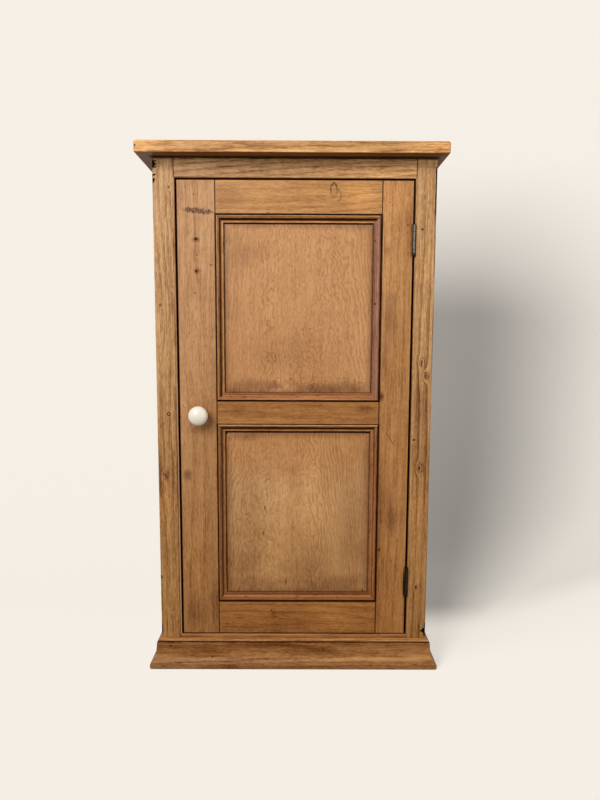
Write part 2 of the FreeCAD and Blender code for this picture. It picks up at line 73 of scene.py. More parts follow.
class Graph:
    """The node tree of a material, light or world, written as function calls."""

    def __init__(self, owner):
        owner.use_nodes = True
        self.owner, self.tree = owner, owner.node_tree
        self.tree.nodes.clear()

    def node(self, kind, values=None, **settings):
        """A node with some properties set, and values for its inputs, by name or number."""
        made = self.tree.nodes.new("ShaderNode" + kind)
        for key, value in settings.items():
            setattr(made, key, value)
        for key, value in (values or {}).items():
            socket = made.inputs[key]
            if isinstance(value, bpy.types.NodeSocket):
                self.tree.links.new(value, socket)
            else:
                socket.default_value = value
        return made

    def calc(self, operation, a, b=0.0):
        return self.node("Math", {0: a, 1: b}, operation=operation).outputs[0]

    def fold(self, operation, values):
        return reduce(lambda a, b: self.calc(operation, a, b), values)

    def add(self, *values):
        return self.fold("ADD", values)

    def mul(self, *values):
        return self.fold("MULTIPLY", values)

    def most(self, *values):
        return self.fold("MAXIMUM", values)

    def least(self, *values):
        return self.fold("MINIMUM", values)

    def sub(self, a, b):
        return self.calc("SUBTRACT", a, b)

    def div(self, a, b):
        return self.calc("DIVIDE", a, b)

    def away(self, a, b):
        return self.calc("ABSOLUTE", self.sub(a, b))

    def length(self, a, b):
        return self.calc("SQRT", self.add(self.mul(a, a), self.mul(b, b)))

    def ragged(self, value, noise, size):
        """A value shaken by a noise that lies round a half."""
        return self.add(value, self.mul(self.sub(noise, 0.5), size))

    def step(self, value, start, end, low=0.0, high=1.0):
        """A smooth step from low to high."""
        return self.node("MapRange", {0: value, 1: start, 2: end, 3: low, 4: high},
                         interpolation_type="SMOOTHSTEP").outputs[0]

    def coordinate(self):
        return self.node("TexCoord").outputs["Object"]

    def position(self):
        return self.node("SeparateXYZ", {0: self.coordinate()}).outputs

    def vector(self, x, y, z):
        return self.node("CombineXYZ", {0: x, 1: y, 2: z}).outputs[0]

    def noise(self, vector, scale, detail=2.0, roughness=0.5):
        return self.node("TexNoise", {"Vector": vector, "Scale": scale, "Detail": detail,
                                      "Roughness": roughness}).outputs[0]

    def mix(self, factor, a, b, blend="MIX"):
        return self.node("Mix", {0: factor, 6: a, 7: b}, data_type="RGBA",
                         blend_type=blend).outputs[2]

    def tint(self, factor, colour, *by):
        """A colour multiplied by red, green and blue."""
        return self.mix(factor, colour, (*by, 1.0), "MULTIPLY")

    def ramp(self, factor, stops):
        made = self.node("ValToRGB", {0: factor})
        bar = made.color_ramp
        while len(bar.elements) < len(stops):
            bar.elements.new(0.5)
        for element, (place, colour) in zip(bar.elements, stops):
            element.position = place
            element.color = colour
        return made.outputs[0]

    def bumpy(self, height, strength, distance, radius=None):
        """The surface's normal with a bump and rounded edges."""
        values = {"Height": height, "Strength": strength, "Distance": distance}
        if radius:
            values["Normal"] = self.node("Bevel", {"Radius": radius}, samples=4).outputs[0]
        return self.node("Bump", values).outputs[0]

    def output(self, shader, kind="Material"):
        self.node("Output" + kind, {0: shader.outputs[0]})

    def principled(self, **values):
        """A principled surface. Names use _ for a space."""
        self.output(self.node("BsdfPrincipled",
                              {key.replace("_", " "): value for key, value in values.items()}))
        return self.owner


def new_material(name):
    return Graph(bpy.data.materials.new(name))


def wear(material, *names):
    """Gives CAD nodes a material."""
    for name in names:
        slots = NODES[name].data.materials
        slots.clear()
        slots.append(material)


# ---- pine

# Rectangles on the front, in metres: left, right, bottom, top.
LATCH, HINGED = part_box("door_stile_latch"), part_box("door_stile_hinge")
LOW_RAIL, LOCK_RAIL, TOP_RAIL = (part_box("door_rail_" + n) for n in ("bottom", "lock", "top"))
LOWER = (LATCH[1].x, HINGED[0].x, LOW_RAIL[1].z, LOCK_RAIL[0].z)
UPPER = (LATCH[1].x, HINGED[0].x, LOCK_RAIL[1].z, TOP_RAIL[0].z)
DOOR = (LATCH[0].x, HINGED[1].x, LATCH[0].z, LATCH[1].z)
DOORWAY = (-0.2299, 0.2415, 0.0679, 0.9991)
MOULDING_WIDTH = 0.0165
UNDER_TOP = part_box("top_board")[0].z

# Places of front faces along Y.
TOP_FRONT, PANEL_FRONT = (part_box(n)[0].y for n in ("top_board", "door_panel_upper"))
FRAME_FRONT, DOOR_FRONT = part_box("face_stile_left")[0].y, LATCH[0].y

EDGE = shades((222, 172, 114), (198, 144, 85), (140, 90, 44))
FRAME = shades((212, 167, 116), (178, 131, 82), (124, 80, 40))
FRAME_FOOT = shades((198, 144, 88), (168, 116, 68), (128, 82, 44))
STILE = shades((206, 158, 110), (182, 133, 87), (140, 92, 50))
STILE_RIGHT = shades((212, 159, 107), (184, 130, 76), (142, 89, 41))
PANEL = shades((214, 162, 112), (192, 138, 88), (156, 102, 56))
RAIL = shades((198, 141, 80), (168, 113, 58), (128, 78, 34))
RAIL_TOP = shades((210, 157, 97), (186, 131, 74), (146, 94, 47))
PLINTH = shades((204, 150, 92), (164, 110, 56), (112, 66, 26))
MOULDING = shades((222, 174, 124), (192, 140, 90), (144, 92, 48))
MOULDING_BOTTOM = shades((222, 164, 116), (194, 136, 88), (148, 94, 54))
MOULDING_RIGHT = {"upper": shades((186, 138, 116), (156, 110, 90), (116, 76, 56)),
                  "lower": shades((212, 158, 116), (178, 126, 86), (130, 84, 50))}
INSIDE = shades((214, 180, 136), (194, 156, 108), (158, 120, 76))
SAWN = shades((186, 150, 108), (158, 122, 82), (118, 86, 54))
BUTTON = shades((190, 140, 92), (158, 110, 66), (116, 76, 42))

# ROSY, and the arris colour on the next line, are painted highlights. DARK serves both dents and
# painted shade.
GRIME, DARK, ROSY = rgb(52, 20, 4), rgb(26, 7, 1), rgb(206, 156, 126)
KNOT, ARRIS_HIGHLIGHT = rgb(92, 52, 26), rgb(184, 132, 98)
# What marks multiply the wood's colour by: painted shade towards the floor, smudges, pale patches,
# stains, and painted shade in the creases by the mouldings.
SHADE_BELOW, SMUDGED, PALER = (0.68, 0.585, 0.385), (0.42, 0.25, 0.13), (1.55, 1.6, 1.62)
STAINED, CREASE_SHADE = (0.2, 0.08, 0.03), (0.26, 0.13, 0.05)


class Board(Graph):
    """A pine board's graph. cut names the axis that the fibres follow and the axis that the
    board faces. marked is the face, as a place along Y, that its marks keep to."""

    def __init__(self, name, cut, seed, marked):
        super().__init__(bpy.data.materials.new(name))
        self.x, self.y, self.z = self.position()
        self.axes = {"x": self.x, "y": self.y, "z": self.z}
        self.along, self.out = self.axes[cut[0]], self.axes[cut[1]]
        self.across = self.axes[({*"xyz"} - {*cut}).pop()]
        self.marked = marked
        shift = seed * 1.37
        self.wood = self.vector(self.add(self.across, shift), self.add(self.out, shift * 0.7),
                                self.add(self.along, shift * 2.3))
        self.patch = self.noise(self.wood, 26.0, detail=5.0, roughness=0.62)
        self.broad = self.stretched(13, 2.6, 3.0)
        self.streak = self.stretched(185, 4.5, 4.0, 0.65)

    def stretched(self, sideways, lengthwise, detail=2.0, roughness=0.5):
        """A noise drawn out along the fibres."""
        scale = (sideways, sideways, lengthwise)
        scaled = self.node("VectorMath", {0: self.wood, 1: scale}, operation="MULTIPLY")
        return self.noise(scaled.outputs[0], 1.0, detail, roughness)

    def front_noise(self, scale_x, scale_z, **settings):
        return self.noise(self.vector(self.mul(self.x, scale_x), 0.0,
                                      self.mul(self.z, scale_z)), 1.0, **settings)

    def reach(self, x, z, half=1.0, tall=1.0):
        """Distance from a point on the front, in mm, or in the halves of a mark's size."""
        return self.length(self.div(self.sub(self.x, x / 1000), half / 1000),
                           self.div(self.sub(self.z, z / 1000), tall / 1000))

    def inside(self, area):
        """How far inside a rectangle a point lies, in metres."""
        left, right, bottom, top = area
        return self.least(self.sub(self.x, left), self.sub(right, self.x),
                          self.sub(self.z, bottom), self.sub(top, self.z))

    def skin(self, factor, reach=1.0):
        """Keeps a mark to the marked face and a few ragged millimetres beyond its edge."""
        if self.marked is None:
            return factor
        deep = self.mul(self.sub(self.y, self.marked), 1 if self.marked < 0 else -1)
        deep = self.ragged(deep, self.patch, 0.004)
        return self.mul(factor, self.step(deep, 0.0055 * reach, 0.002 * reach))

    def blot(self, mark, noise, wobble, edge, middle):
        """A mark (x, z, half width, half height, strength), in mm, with a ragged edge."""
        *place, strength = mark
        reach = self.ragged(self.reach(*place), noise, wobble)
        return self.mul(self.step(reach, edge, middle), strength)


def growth(b, heart, rings, taper, warp, curl, knots):
    """The late wood of rings cut from a cone round the heart and bent round each knot, as
    a value round 0, and the cores of the knots (across, along, radius)."""
    middle = b.sub(b.across, heart[0])
    radius = b.length(middle, b.add(b.out, heart[1]))
    phase = b.add(radius, b.mul(b.along, taper))
    phase = b.ragged(phase, b.stretched(9, 1.6, 3.0), warp * 4)
    phase = b.ragged(phase, b.stretched(45, 9.0, 3.0), warp * 0.7)
    if curl:
        calm = b.step(b.calc("ABSOLUTE", middle), 0.125, 0.03, 0.2, 1.0)
        phase = b.add(phase, b.mul(b.sub(b.stretched(38, 24), 0.5), calm, curl))
    core = 0.0
    for place, height, size in knots:
        kx = b.div(b.sub(b.across, place / 1000), size / 1000)
        kz = b.div(b.sub(b.along, height / 1000), size * 1.7 / 1000)
        square = b.add(b.mul(kx, kx), b.mul(kz, kz))
        near = b.div(1.0, b.add(1.0, b.mul(square, 0.55)))
        phase = b.add(phase, b.mul(near, near, 0.011))
        core = b.most(core, b.step(square, 0.75, 0.1))
    late = b.ramp(b.calc("FRACT", b.div(phase, rings)),
                  [(0.0, grey(0.05)), (0.45, grey(0.2)), (0.74, grey(0.75)),
                   (0.87, grey(1.0)), (1.0, grey(0.05))])
    fade = b.step(b.stretched(16, 2.6, 3.0), 0.3, 0.64, 0.3, 1.0)
    return b.mul(b.sub(late, 0.42), fade), core


def lay_marks(b, colour, core, knots=(), pales=(), spots=(), stains=(), creases=(), ends=(),
              areas=(), arrises=(), rims=(), gap=None, extra=None):
    """The colour with its marks, and the dents. spots, stains and pales are blots. ends,
    arrises and rims lie along a line (axis, place), in mm, areas along a rectangle's edges,
    and creases along the mouldings inside it. arrises are painted highlights, and rims and
    creases painted shade. gap paints shade, or light and shade, onto the faces beside the
    door or under the top board."""
    for mark in pales:
        colour = b.tint(b.skin(b.blot(mark, b.broad, 1.0, 1.25, 0.1)), colour, *PALER)
    if knots:
        colour = b.mix(b.mul(core, 0.72), colour, KNOT)
    dents = 0.0
    if spots:
        torn = b.noise(b.wood, 420.0)
        dents = b.skin(b.most(*(b.blot(mark, torn, 1.0, 1.15, 0.75) for mark in spots)))
        colour = b.mix(dents, colour, DARK)
    for mark in stains:
        colour = b.tint(b.skin(b.blot(mark, b.patch, 2.4, 1.2, 0.1)), colour, *STAINED)
    # creases: painted shade on the panel along the mouldings, with a dark line at the moulding's
    # edge that is stronger along the top.
    for area, width, strength in creases:
        depth = b.sub(b.inside(area), MOULDING_WIDTH)
        soft = b.ragged(b.ragged(depth, b.patch, width * 1.6), b.streak, width * 0.6)
        colour = b.tint(b.skin(b.mul(b.step(soft, width, 0.0), strength)), colour, *CREASE_SHADE)
        top = b.sub(b.sub(area[3] - MOULDING_WIDTH, b.z), depth)
        edge = b.mul(b.step(depth, 0.003, 0.001), b.step(top, 0.0006, 0.0, 0.55, 1.0), 0.9)
        colour = b.mix(b.skin(edge), colour, DARK)
    lines = [b.step(b.away(b.axes[axis], place / 1000), 0.0016, 0.0006)
             for axis, place in ends]
    lines += [b.step(b.ragged(b.calc("ABSOLUTE", b.inside(area)), b.patch, 0.0012),
                     width, width * 0.45) for area, width in areas]
    if lines:
        dirt = b.mul(b.most(*lines), b.step(b.patch, 0.2, 0.5, 0.75, 0.97))
        colour = b.mix(dirt, colour, GRIME)
    # arrises: a painted highlight along an arris, broken up by the grain.
    for axis, place, width in arrises:
        line = b.step(b.away(b.axes[axis], place / 1000), width / 1000, width / 3000)
        colour = b.mix(b.mul(line, b.step(b.streak, 0.35, 0.6, 0.15, 0.55)), colour, ARRIS_HIGHLIGHT)
    if gap:
        colour = gap(b, colour)
    if extra:
        colour = b.mix(b.skin(1.0), colour, extra(b, colour))
    # rims: painted shade, a dark line along an edge beside the door's gap.
    for axis, place in rims:
        line = b.ragged(b.away(b.axes[axis], place / 1000), b.patch, 0.001)
        colour = b.mix(b.skin(b.mul(b.step(line, 0.001, 0.0003), 0.7), 2.6), colour, DARK)
    return colour, dents


def pine(name, cut, tones, seed, heart=(0.0, 0.03), rings=0.0055, taper=0.03, figure=0.5,
         warp=0.01, streaks=0.6, curl=0.0, low=1.0, grime=0.35, roughness=0.5, marked=None,
         **marks):
    """Stripped pine. low is how much painted shade darkens it towards the floor, and grime
    how much old wax and dirt lie on it. marks are those that lay_marks takes."""
    b = Board(name, cut, seed, marked)
    late, core = growth(b, heart, rings, taper, warp, curl, marks.get("knots", ()))
    fibre = b.stretched(400, 20, 3.0, 0.75)
    hair = b.step(b.stretched(300, 6.5, 2.0, 0.6), 0.56, 0.66)
    pore = b.step(b.stretched(520, 55), 0.62, 0.74)
    tone = b.add(0.5, b.mul(late, figure), b.mul(hair, streaks * 0.22), b.mul(pore, 0.34))
    for noise, weight in ((b.streak, streaks * 1.15), (fibre, streaks * 1.9), (b.broad, 0.7),
                          (b.patch, 0.42), (b.stretched(430, 105, 2.0, 0.6), 0.85)):
        tone = b.ragged(tone, noise, weight)
    colour = b.ramp(tone, list(zip((0.08, 0.5, 0.96), tones)))

    # Painted shade: the wood is darker towards the floor.
    if low:
        colour = b.tint(b.mul(b.step(b.z, 0.9, 0.02), low), colour, *SHADE_BELOW)
    smudge = b.step(b.noise(b.wood, 9.0, detail=6.0, roughness=0.7), 0.5, 0.78)
    colour = b.tint(b.mul(smudge, grime), colour, *SMUDGED)
    colour, dents = lay_marks(b, colour, core, **marks)

    height = b.add(b.mul(late, -0.35), b.mul(fibre, 0.45), b.mul(b.streak, 0.35),
                   b.mul(b.patch, 0.9), b.mul(pore, -0.3), b.mul(dents, -2.5))
    clean = b.step(b.node("RGBToBW", {0: colour}).outputs[0], 0.01, 0.16, 0.02, 0.3)
    return b.principled(Base_Color=colour, Normal=b.bumpy(height, 0.35, 0.0009, 0.0009),
                        Roughness=b.add(roughness - 0.09, b.mul(b.patch, 0.18)),
                        Specular_IOR_Level=clean)


def dress(node, *wood, **looks):
    """Makes a CAD node a pine board."""
    wear(pine("pine_" + node, *wood, **looks), node)


# ---- particular marks


def both(*paints):
    """Several paints, one after another. A paint takes a board's graph and its colour."""
    def paint(b, colour):
        for one in paints:
            colour = one(b, colour)
        return colour
    return paint


# How light a panel moulding is painted from its outer edge to the panel: a dark joint, a
# small bead, a hollow and an inner bead. This painted light and shade differs on each side
# with how the light falls.
BEAD_LIGHT_AND_SHADE = {
    "upper_top": [(0, 0.02), (0.1, 0.03), (0.16, 0.95), (0.31, 0.95), (0.4, 0.25), (0.48, 0.05),
                  (0.62, 0.05), (0.72, 0.5), (0.81, 1), (0.91, 0.95), (0.95, 0.1), (1, 0.02)],
    "upper_left": [(0, 0.02), (0.07, 0.03), (0.15, 0.75), (0.27, 1), (0.38, 0.4), (0.46, 0.05),
                   (0.55, 0.09), (0.65, 0.45), (0.8, 1), (0.88, 0.85), (0.94, 0.16), (1, 0.1)],
    "upper_bottom": [(0, 0.06), (0.06, 0.02), (0.15, 0.03), (0.22, 0.95), (0.31, 1.05),
                     (0.38, 0.72), (0.45, 0.66), (0.53, 0.75), (0.62, 0.74), (0.74, 0.6),
                     (0.84, 0.66), (0.94, 0.62), (1, 0.42)],
    "upper_right": [(0, 0.02), (0.11, 0.03), (0.19, 0.4), (0.28, 0.92), (0.42, 1), (0.55, 0.82),
                    (0.85, 0.8), (0.92, 0.42), (1, 0.25)],
    "lower_top": [(0, 0.05), (0.02, 0.08), (0.09, 1.2), (0.22, 1.05), (0.33, 0.32), (0.41, 0.04),
                  (0.56, 0.05), (0.67, 0.5), (0.75, 0.85), (0.82, 0.75), (0.87, 0.06), (0.96, 0.02),
                  (1, 0.1)],
    "lower_left": [(0, 0.02), (0.07, 0.04), (0.15, 0.55), (0.27, 0.82), (0.38, 0.42), (0.46, 0.18),
                   (0.56, 0.2), (0.68, 0.48), (0.8, 0.8), (0.88, 0.7), (0.94, 0.18), (1, 0.14)],
    "lower_bottom": [(0, 0.02), (0.1, 0.03), (0.16, 0.42), (0.26, 0.64), (0.37, 0.56), (0.49, 0.82),
                     (0.6, 0.74), (0.7, 0.5), (0.84, 0.46), (0.95, 0.48), (1, 0.42)],
    "lower_right": [(0, 0.02), (0.11, 0.03), (0.18, 0.46), (0.29, 0.92), (0.4, 0.95), (0.46, 0.42),
                    (0.54, 0.44), (0.63, 0.92), (0.83, 0.98), (0.92, 0.66), (1, 0.42)],
}

def moulding_light_and_shade(area, side):
    """Painted light and shade across a panel moulding, by distance in from the opening."""
    def paint(b, colour):
        depth = b.mul(b.ragged(b.inside(area), b.patch, 0.0018), 1 / MOULDING_WIDTH)
        shade = b.ramp(depth, [(place, (v, v * (0.72 + 0.2 * v), v * (0.4 + 0.44 * v), 1))
                               for place, v in BEAD_LIGHT_AND_SHADE[side]])
        return b.mix(1.0, colour, shade, "MULTIPLY")
    return paint


def shade_in_the_gap(front, area, strength):
    """Painted shade, in dark brown, on the faces that look into the doorway's gap, less of
    it deeper in, and painted lighter orange where the upper hinge holds the gap shut."""
    def paint(b, colour):
        deep = b.step(b.ragged(b.y, b.patch, 0.006), front + 0.018, front + 0.01,
                      0.45 * strength, strength)
        deep = b.mul(b.step(b.y, front + 0.001, front + 0.0035), deep)
        edge = b.step(b.calc("ABSOLUTE", b.inside(area)), 0.003, 0.0012)
        tight = b.mul(b.step(b.x, 0.24, 0.241), b.step(b.z, 0.895, 0.945),
                      b.step(b.y, front + 0.012, front + 0.007))
        # Painted shade in dark brown, and painted lighter orange where the hinge holds the gap
        # shut.
        tone = b.mix(tight, rgb(84, 46, 24), rgb(214, 150, 104))
        return b.mix(b.mul(deep, edge), colour, tone)
    return paint


GAP_SHADE_FRAME = shade_in_the_gap(FRAME_FRONT, DOORWAY, 1.0)
GAP_SHADE_DOOR = shade_in_the_gap(DOOR_FRONT, DOOR, 0.6)


def beside_gap(b, colour):
    """A thin dark line down the left stile, a little way from the doorway, and a pale
    painted highlight on the arris beyond it, stronger lower down."""
    ragged = b.ragged(b.mul(b.sub(b.x, DOORWAY[0]), -1), b.patch, 0.0014)
    line = b.mul(b.step(ragged, 0.0022, 0.003), b.step(ragged, 0.005, 0.004),
                 b.step(b.z, 0.95, 0.3, 0.35, 0.8))
    colour = b.tint(line, colour, 0.32, 0.2, 0.1)
    # The painted highlight on the arris.
    pale = b.mul(b.step(ragged, 0.0026, 0.0016), b.step(ragged, 0.0004, 0.0012),
                 b.step(b.z, 0.75, 0.4, 0.1, 0.7))
    return b.mix(pale, colour, ROSY)


def plug_left(b, colour):
    """A plugged hole in the left stile, pale in the middle with a dark rim."""
    reach = b.reach(-249.5, 534.9)
    rim = b.mul(b.step(reach, 4.2, 3.0), b.step(reach, 1.2, 2.2))
    colour = b.mix(b.step(reach, 2.2, 1.2), colour, rgb(190, 150, 106))
    return b.mix(rim, colour, DARK)


def under_top(b, colour):
    """A greyer strip on the frame under the top board, painted lighter near the board as
    painted light, with a dark line below it and painted black shade in the joint above."""
    below = b.sub(UNDER_TOP, b.ragged(b.z, b.patch, 0.003))
    colour = b.tint(b.step(below, 0.0165, 0.0145), colour, 0.98, 1.04, 1.1)
    # Painted light: the strip's upper part is lightened.
    colour = b.tint(b.step(below, 0.01, 0.006), colour, 1.62, 1.66, 1.68)
    line = b.mul(b.step(b.away(below, 0.016), 0.0018, 0.0004),
                 b.step(b.patch, 0.42, 0.6, 0.1, 0.5))
    colour = b.mix(line, colour, GRIME)
    # Painted shade: black in the joint under the top board.
    return b.mix(b.step(below, 0.0034, 0.0014, 0.0, 0.85), colour, DARK)


def under_side(b, colour):
    """The top board's underside, painted dark as shade, lighter and greyer at the right end
    as painted light, black painted shade where it meets the frame, and a painted
    highlight on the lower arris of its front."""
    # Painted highlight on the front's lower arris.
    arris = b.mul(b.step(b.y, -0.193, -0.1945),
                  b.step(b.z, UNDER_TOP + 0.0042, UNDER_TOP + 0.0022))
    colour = b.tint(arris, colour, 1.4, 1.4, 1.4)
    # Painted shade on the underside, painted lighter at the right end, and black painted shade at
    # the joint.
    under = b.step(b.z, UNDER_TOP + 0.0007, UNDER_TOP + 0.0001)
    colour = b.tint(under, colour, 0.3, 0.25, 0.2)
    colour = b.tint(b.mul(under, b.step(b.x, 0.275, 0.295)), colour, 1.55, 1.9, 1.95)
    joint = b.mul(b.step(b.y, -0.178, -0.164), b.step(b.x, -0.279, -0.273),
                  b.step(b.x, 0.289, 0.283), under, 0.8)
    return b.mix(joint, colour, DARK)


def latch_marks(b, colour):
    """A rough scar across the latch stile, a faint brown ring just below the knob, and a chip."""
    slanted = b.vector(b.add(b.mul(b.x, 430), b.mul(b.z, 170)), 0.0, b.mul(b.z, 150))
    torn = b.step(b.noise(slanted, 1.0, detail=4.0, roughness=0.6), 0.38, 0.54, 0.35, 1.0)
    bend = b.sub(b.front_noise(40, 0.0), 0.5)
    line = b.add(b.mul(b.add(b.x, 0.187), -0.09), 0.9364, b.mul(bend, 0.006))
    away = b.away(b.z, line)
    deep = b.add(b.ragged(away, b.front_noise(130, 70, detail=3.0), 0.011),
                 b.mul(b.calc("ABSOLUTE", b.add(b.x, 0.186)), 0.08))
    band = b.mul(b.step(deep, 0.0078, 0.004), torn, b.step(b.x, -0.2175, -0.208),
                 b.step(b.x, -0.1535, -0.161))
    thin = b.mul(b.step(away, 0.0016, 0.0006), b.step(b.x, -0.226, -0.2, 0.0, 0.6))
    colour = b.mix(b.mul(b.most(band, thin), 0.9), colour, rgb(80, 40, 30))
    reach = b.reach(-190, 512.3)
    ring = b.mul(b.step(reach, 18.5, 16.5), b.step(reach, 13.0, 16.0),
                 b.step(b.patch, 0.4, 0.6), 0.3)
    colour = b.mix(ring, colour, rgb(92, 56, 34))
    return b.mix(b.step(b.reach(-216.6, 552), 1.8, 0.9), colour, rgb(232, 196, 158))


def outer_crack(b, colour):
    """A dark crack down the top of the right stile, at its outer edge."""
    away = b.ragged(b.away(b.x, 0.2812), b.patch, 0.0016)
    line = b.mul(b.step(away, 0.0022, 0.0012), b.step(b.z, 1.024, 1.018),
                 b.step(b.z, 0.895, 0.945, 0.25, 1.0), b.step(b.z, 0.78, 0.88))
    return b.mix(line, colour, DARK)


def scratch(b, colour):
    """A slanting scratch on the hinge stile."""
    slope = b.add(b.mul(b.sub(b.x, 0.1922), -1.6), 0.4988)
    line = b.mul(b.step(b.away(b.z, slope), 0.0024, 0.0008),
                 b.step(b.x, 0.1905, 0.1935), b.step(b.x, 0.2115, 0.208), 0.75)
    return b.mix(line, colour, rgb(84, 48, 26))


def ring_knot(b, colour):
    """An oval knot on the top rail, darkest round its top, with a brown curl below it."""
    reach = b.ragged(b.reach(81.2, 976.8, 6.0, 12.5), b.front_noise(260, 150), 0.9)
    loop = b.mul(b.step(reach, 1.36, 1.06), b.step(reach, 0.66, 0.98),
                 b.step(b.z, 0.9655, 0.977, 0.3, 1.0), 0.86)
    colour = b.mix(b.mul(b.step(reach, 1.1, 0.7), 0.55), colour, rgb(176, 128, 84))
    curl = b.ragged(b.reach(86.0, 966.3, 9.5, 11.0), b.patch, 1.6)
    band = b.mul(b.step(curl, 1.45, 1.05), b.step(curl, 0.6, 0.95),
                 b.step(b.x, 0.084, 0.09, 0.25, 1.0), 0.5)
    colour = b.mix(band, colour, rgb(124, 78, 38))
    return b.mix(loop, colour, rgb(88, 50, 20))


def dusty(b, colour):
    """The lower panel, less orange than the wood round it."""
    return b.tint(b.step(b.z, 0.475, 0.37), colour, 1.03, 1.17, 1.42)


def plinth_light_and_shade(b, colour):
    """Painted light and shade down the plinth: lit pale on the cap and the swell, a black line
    of shade under the cap, brown shade in the hollow between, and darker at the toe.
    """
    height = b.mul(b.ragged(b.z, b.patch, 0.003), 1 / 0.062)
    shade = b.ramp(height, [
        (0, (0.7, 0.76, 0.84, 1)), (0.13, grey(0.66)), (0.21, (0.7, 0.68, 0.66, 1)),
        (0.28, grey(0.98)), (0.38, grey(0.98)), (0.55, (0.8, 0.76, 0.7, 1)),
        (0.76, (0.58, 0.5, 0.42, 1)), (0.845, (0.66, 0.6, 0.54, 1)),
        (0.862, (0.14, 0.09, 0.06, 1)), (0.885, (0.12, 0.08, 0.05, 1)),
        (0.915, grey(0.95)), (0.96, grey(1.05)), (1, grey(0.95))])
    return b.mix(1.0, colour, shade, "MULTIPLY")


# ---- every wooden CAD node


def paint_carcass():
    """The top board, the sides and the face frame."""
    dress("top_board", "xy", EDGE, 1, heart=(1.052, 0.1), rings=0.0042, taper=0.01, figure=0.55,
          warp=0.005, streaks=0.75, low=0, grime=0.2, gap=under_side, marked=TOP_FRONT,
          pales=[(300, 1050, 90, 30, 1), (-281, 1050, 44, 30, 0.5)],
          spots=[(-296, 1048.3, 1.8, 2.8, 0.85), (-262, 1038.3, 16, 1, 0.6),
                 (178, 1038.8, 30, 0.9, 0.5), (60, 1039.3, 22, 0.8, 0.45)])
    side = dict(heart=(0.04, 0.1), taper=0.035, figure=0.45, warp=0.012)
    front = dict(gap=GAP_SHADE_FRAME, marked=FRAME_FRONT)
    dress("side_board_left", "zx", FRAME, 2, knots=[(-60, 300, 8), (80, 720, 10)], **side)
    dress("side_board_right", "zx", FRAME, 3, knots=[(20, 560, 9), (-90, 860, 7)], **side)
    dress("face_stile_left", "zy", FRAME, 4, heart=(-0.33, -0.13), rings=0.004, taper=0.01,
          figure=0.42, warp=0.006, streaks=0.7,
          knots=[(-257, 407.3, 4), (-262, 753.3, 3), (-241, 980.3, 2.5)],
          spots=[(-270, 1024, 3.8, 8.6, 1), (-266, 1030.2, 2, 1.5, 1), (-265.6, 1024, 2.2, 1.4, 1),
                 (-266.2, 1018.2, 2, 1.6, 1), (-269.6, 1003.4, 3.4, 1.8, 1),
                 (-266.4, 1004.6, 2, 1.2, 0.9), (-270.6, 992.6, 2.8, 4.6, 1),
                 (-268, 995.4, 1.8, 1.4, 0.9), (-241.3, 1016.3, 2.6, 1.2, 0.45),
                 (-240.1, 980.7, 1.4, 1.6, 0.4), (-272, 191.8, 4, 4, 1), (-271.9, 78.3, 2.5, 13, 1),
                 (-261.5, 410.3, 1.5, 2, 0.85), (-254, 403.3, 1.4, 1.6, 0.75),
                 (-259, 400.3, 1.6, 1.2, 0.6), (-252, 412.3, 1, 1.6, 0.5)],
          stains=[(-257, 407.3, 13, 20, 0.35)], pales=[(-252, 340, 24, 70, 0.6)],
          rims=[("x", -229.7)], extra=both(beside_gap, plug_left, under_top), **front)
    dress("face_stile_right", "zy", FRAME, 5, heart=(0.15, -0.145), rings=0.0052, taper=-0.004,
          figure=0.8, warp=0.0022, streaks=0.7,
          knots=[(261, 642, 4), (270, 614, 5), (261, 425, 5), (261, 171, 3)],
          spots=[(256, 902.3, 2, 2, 1), (260.5, 636.3, 1.5, 4, 0.7), (268, 620.3, 2.4, 1.4, 0.6),
                 (248.8, 483.3, 2.4, 2, 0.95), (261, 171.3, 2.6, 2.2, 0.95),
                 (262, 423.3, 1.4, 1.8, 0.6), (282, 85, 2.6, 9, 1), (279.8, 76.8, 5.2, 6.4, 1),
                 (274.6, 75.6, 3, 2, 1), (281.4, 69.4, 3.2, 5.4, 1), (268, 84.3, 2, 2, 0.35),
                 (281.9, 852.3, 1.4, 46, 0.6), (282, 700, 1.3, 70, 0.6)],
          pales=[(262, 345, 26, 80, 0.95), (262, 230, 24, 60, 0.4), (262, 835, 26, 60, 0.4),
                 (262, 715, 26, 70, 0.36)], stains=[(262, 560, 24, 40, 0.35)], rims=[("x", 241.3)],
          extra=both(outer_crack, under_top), **front)
    dress("face_rail_top", "xy", FRAME, 6, heart=(0.9, -0.14), rings=0.0038, taper=-0.022,
          figure=0.55, warp=0.003, low=0, grime=0.25,
          pales=[(160, 1006, 180, 26, 0.75), (-199, 1032, 60, 12, 0.45)],
          stains=[(195, 1033, 50, 10, 0.35)], ends=[("x", -231.5), ("x", 243.2)],
          extra=under_top, **front)
    dress("face_rail_bottom", "xy", FRAME_FOOT, 7, heart=(0, -0.13), taper=0.02,
          arrises=[("z", 66, 2.2)], ends=[("x", -231.9), ("x", 243.5)], rims=[("z", 68.4)],
          marked=FRAME_FRONT, stains=[(-100, 68.3, 40, 3, 0.4), (140, 67.3, 60, 3, 0.5)],
          spots=[(-205, 69.3, 22, 1, 0.7), (186, 65.3, 6, 1.6, 0.8)])


